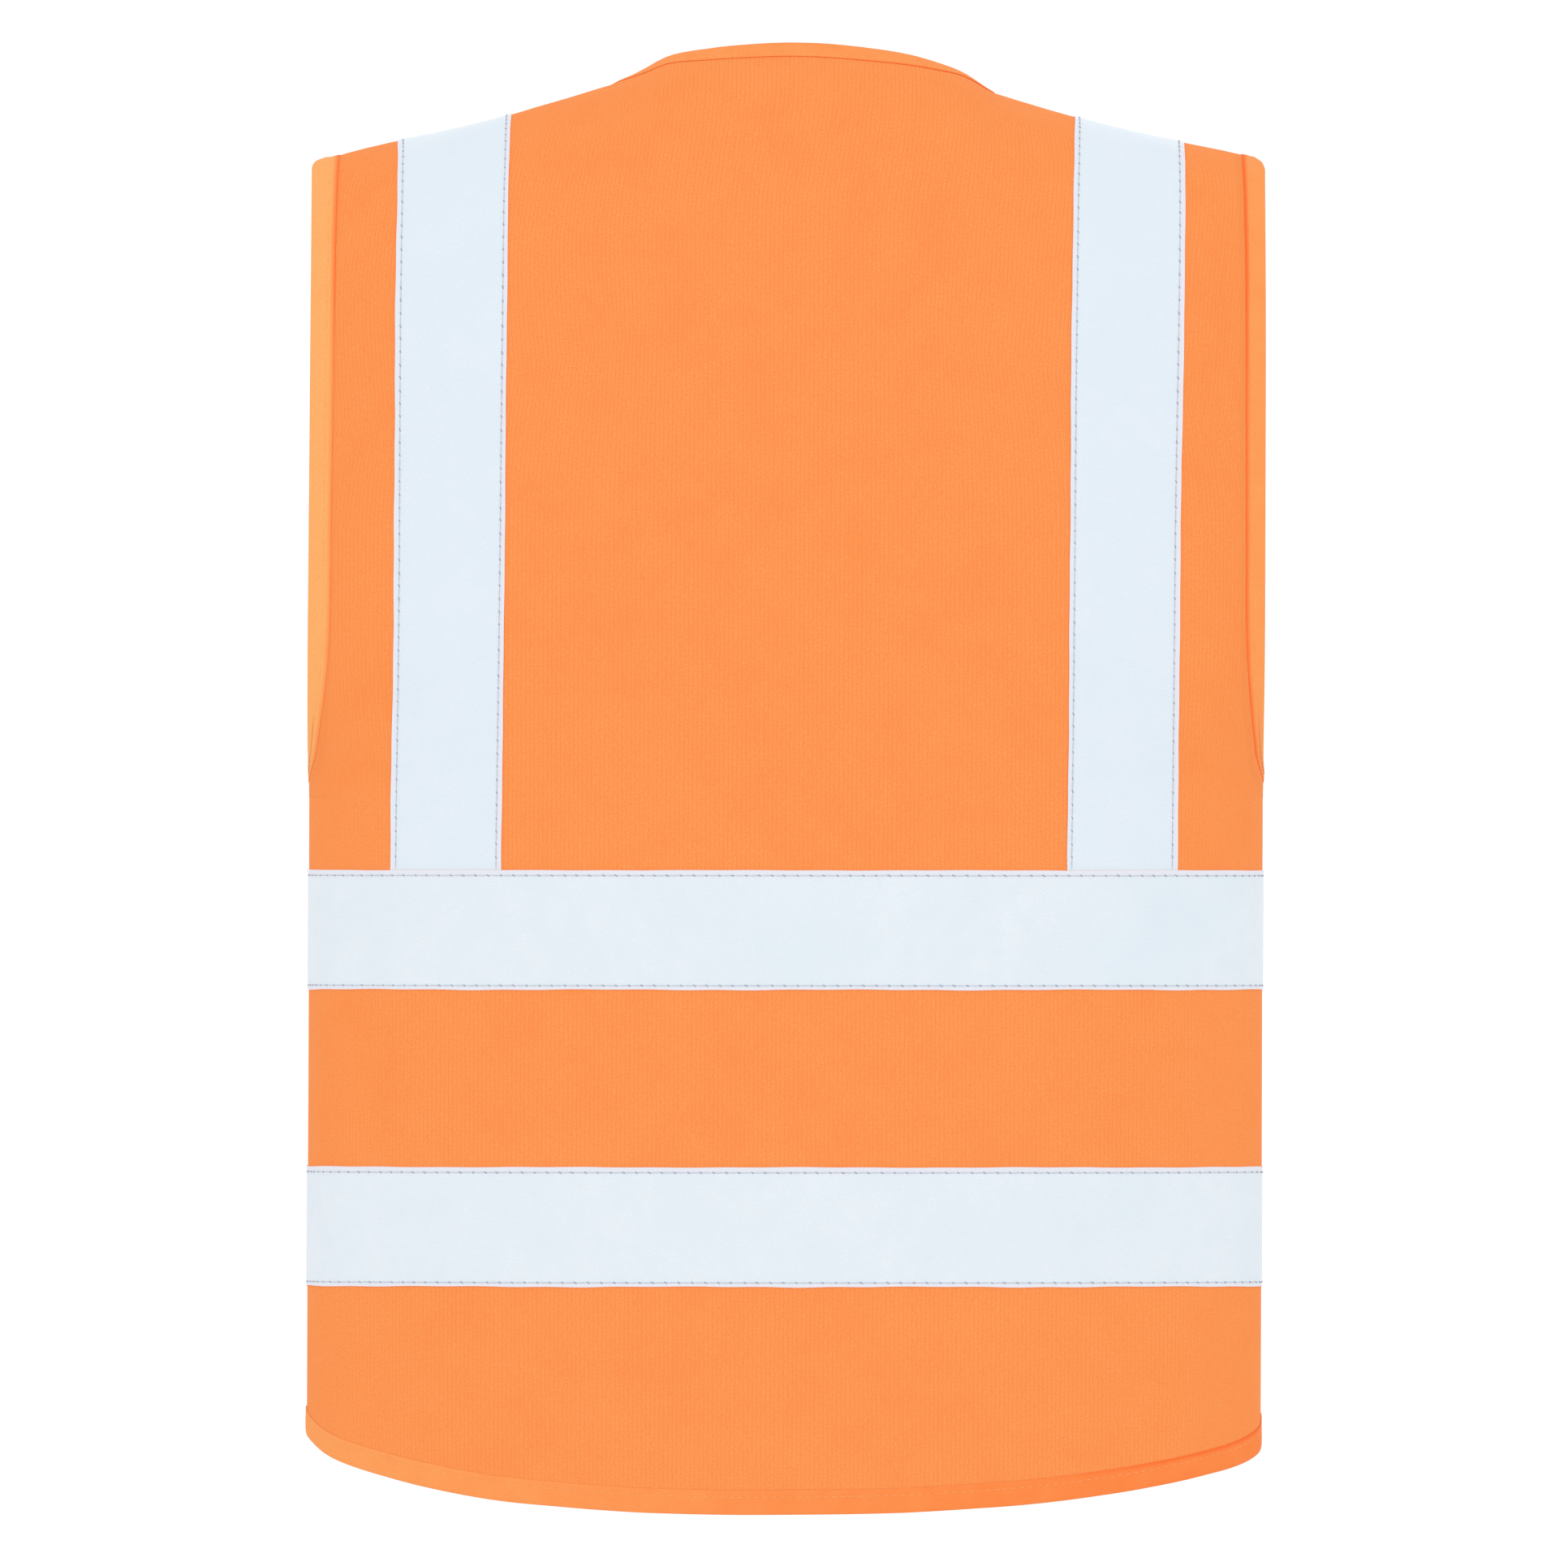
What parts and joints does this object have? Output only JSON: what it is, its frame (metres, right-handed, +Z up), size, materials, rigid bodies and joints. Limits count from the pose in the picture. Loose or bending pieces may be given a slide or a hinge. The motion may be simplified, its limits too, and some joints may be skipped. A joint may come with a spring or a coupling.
{
  "type": "high visibility vest",
  "caption": "Sleeveless orange safety waistcoat with two reflective waist bands, a brace over each shoulder, bound edges and a lapped front that opens.",
  "frame": {"origin": "centre of the worn garment's bounding box in plan, at the height of the hem's lowest point", "axes": "+Z up the wearer's body, +Y the way the wearer faces, so the back panel is at -Y and the wearer's left side at -X"},
  "size_m": [0.4008, 0.178, 0.6172],
  "materials": {
    "orange_knit": "fluorescent orange warp-knit polyester, matt",
    "orange_binding": "orange bias binding, matt, a little lighter than the knit",
    "reflective_tape": "pale grey retroreflective tape, fine grain, satin",
    "hook_loop_orange": "hook-and-loop pile, matt",
    "white_woven": "white woven label, satin"
  },
  "bodies": {
    "back": {"back_panel": "orange_knit", "back_neck_binding": "orange_binding", "back_hem_binding": "orange_binding", "back_waist_tape_lower": "reflective_tape", "back_waist_tape_upper": "reflective_tape", "left_armhole_binding_back": "orange_binding", "left_brace_tape_back": "reflective_tape", "left_side_seam": "orange_knit", "left_shoulder_seam": "orange_knit", "right_armhole_binding_back": "orange_binding", "right_brace_tape_back": "reflective_tape", "right_side_seam": "orange_knit", "right_shoulder_seam": "orange_knit"},
    "left_front": {"left_front_panel": "orange_knit", "left_front_edge_binding": "orange_binding", "left_front_hem_binding": "orange_binding", "left_armhole_binding_front": "orange_binding", "left_front_waist_tape_lower": "reflective_tape", "left_front_waist_tape_upper": "reflective_tape", "left_brace_tape_front": "reflective_tape", "loop_patch_lower": "hook_loop_orange", "loop_patch_middle": "hook_loop_orange", "loop_patch_upper": "hook_loop_orange"},
    "right_front": {"right_front_panel": "orange_knit", "right_front_edge_binding": "orange_binding", "right_front_hem_binding": "orange_binding", "right_armhole_binding_front": "orange_binding", "right_front_waist_tape_lower": "reflective_tape", "right_front_waist_tape_upper": "reflective_tape", "right_brace_tape_front": "reflective_tape", "hook_patch_lower": "hook_loop_orange", "hook_patch_middle": "hook_loop_orange", "hook_patch_upper": "hook_loop_orange"},
    "label": {"neck_label": "white_woven"}
  },
  "joints": [
    {"name": "left_front_opening", "type": "hinge", "parent": "back", "child": "left_front", "pos_m": [-0.2012, 0, 0.3], "axis": [0, 0, 1], "range_deg": [0, 75]},
    {"name": "right_front_opening", "type": "hinge", "parent": "back", "child": "right_front", "pos_m": [0.2012, 0, 0.3], "axis": [0, 0, -1], "range_deg": [0, 53]},
    {"name": "label_flap", "type": "hinge", "parent": "back", "child": "label", "pos_m": [0, -0.0474, 0.606], "axis": [1, 0, 0], "range_deg": [-20, 80]}
  ],
  "couplings": [
    {"joint": "right_front_opening", "follows": "left_front_opening", "ratio": 0.7}
  ]
}
